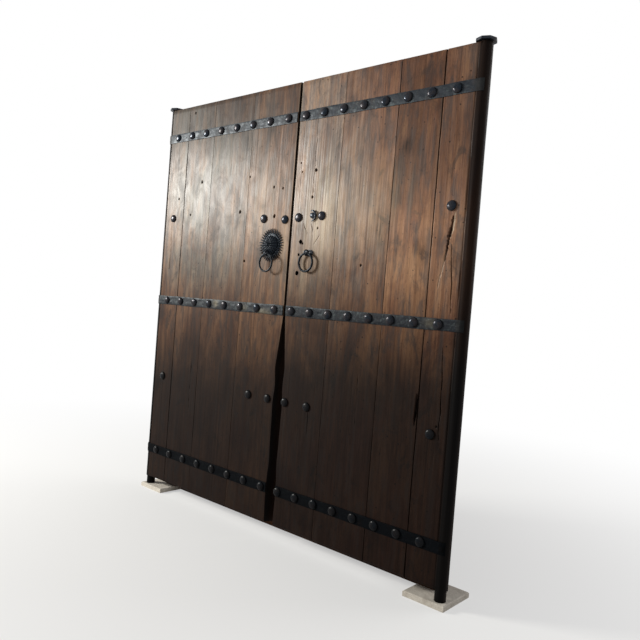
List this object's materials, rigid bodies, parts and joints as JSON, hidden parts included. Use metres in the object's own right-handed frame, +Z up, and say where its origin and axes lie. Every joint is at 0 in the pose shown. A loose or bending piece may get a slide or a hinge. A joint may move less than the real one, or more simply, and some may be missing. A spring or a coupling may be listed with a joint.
{
  "type": "double-leaf studded plank gate",
  "caption": "Tall double-leaf plank gate on wooden pivots in a timber frame, bound with iron bands and domed studs, with a rosette knocker, pull rings and a sliding bar.",
  "frame": {"origin": "under the middle of the threshold, at floor level", "axes": "+X along the gate to its right leaf, +Y from the studded front to the back, +Z up"},
  "size_m": [2.0154, 0.2379, 2.184],
  "materials": {
    "leaf_wood": "satin",
    "frame_wood": "matte",
    "black_iron": "satin",
    "socket_stone": "matte"
  },
  "bodies": {
    "frame": {"threshold": "frame_wood", "head_beam": "frame_wood", "left_jamb": "frame_wood", "right_jamb": "frame_wood", "frame_pegs": "frame_wood", "left_pivot_socket": "socket_stone", "left_pivot_strap": "black_iron", "right_pivot_socket": "socket_stone", "right_pivot_strap": "black_iron", "strap_nails": "black_iron"},
    "left_leaf": {"left_hinge_stile": "leaf_wood", "left_second_plank": "leaf_wood", "left_third_plank": "leaf_wood", "left_meeting_plank": "leaf_wood", "left_bottom_ledge": "leaf_wood", "left_lower_ledge": "leaf_wood", "left_middle_ledge": "leaf_wood", "left_upper_ledge": "leaf_wood", "left_top_ledge": "leaf_wood", "left_lower_band": "black_iron", "left_middle_band": "black_iron", "left_upper_band": "black_iron", "left_band_studs": "black_iron", "left_row_studs": "black_iron", "left_ring_eye": "black_iron", "left_knocker_rosette": "black_iron", "left_far_keeper": "frame_wood", "left_near_keeper": "frame_wood"},
    "right_leaf": {"right_hinge_stile": "leaf_wood", "right_second_plank": "leaf_wood", "right_third_plank": "leaf_wood", "right_meeting_plank": "leaf_wood", "right_bottom_ledge": "leaf_wood", "right_lower_ledge": "leaf_wood", "right_middle_ledge": "leaf_wood", "right_upper_ledge": "leaf_wood", "right_top_ledge": "leaf_wood", "right_lower_band": "black_iron", "right_middle_band": "black_iron", "right_upper_band": "black_iron", "right_band_studs": "black_iron", "right_row_studs": "black_iron", "right_ring_eye": "black_iron", "right_broken_stud": "black_iron", "right_ring_plate": "black_iron", "right_ring_plate_nails": "black_iron", "right_keeper": "frame_wood"},
    "bar": {"bar": "frame_wood", "bar_peg": "frame_wood"},
    "left_ring": {"left_ring": "black_iron"},
    "right_ring": {"right_ring": "black_iron"}
  },
  "joints": [
    {"name": "left_leaf_swing", "type": "hinge", "parent": "frame", "child": "left_leaf", "pos_m": [-0.966, -0.1145, 0], "axis": [0, 0, -1], "range_deg": [0, 100]},
    {"name": "right_leaf_swing", "type": "hinge", "parent": "frame", "child": "right_leaf", "pos_m": [0.966, -0.1145, 0], "axis": [0, 0, 1], "range_deg": [0, 100]},
    {"name": "bar_slide", "type": "slide", "parent": "left_leaf", "child": "bar", "axis": [1, 0, 0], "range_m": [0, 0.1765]},
    {"name": "left_ring_swing", "type": "hinge", "parent": "left_leaf", "child": "left_ring", "pos_m": [-0.08624, -0.1725, 1.35598], "axis": [-1, 0, 0], "range_deg": [-10, 140]},
    {"name": "right_ring_swing", "type": "hinge", "parent": "right_leaf", "child": "right_ring", "pos_m": [0.16043, -0.1575, 1.36102], "axis": [-1, 0, 0], "range_deg": [-5, 165]}
  ]
}
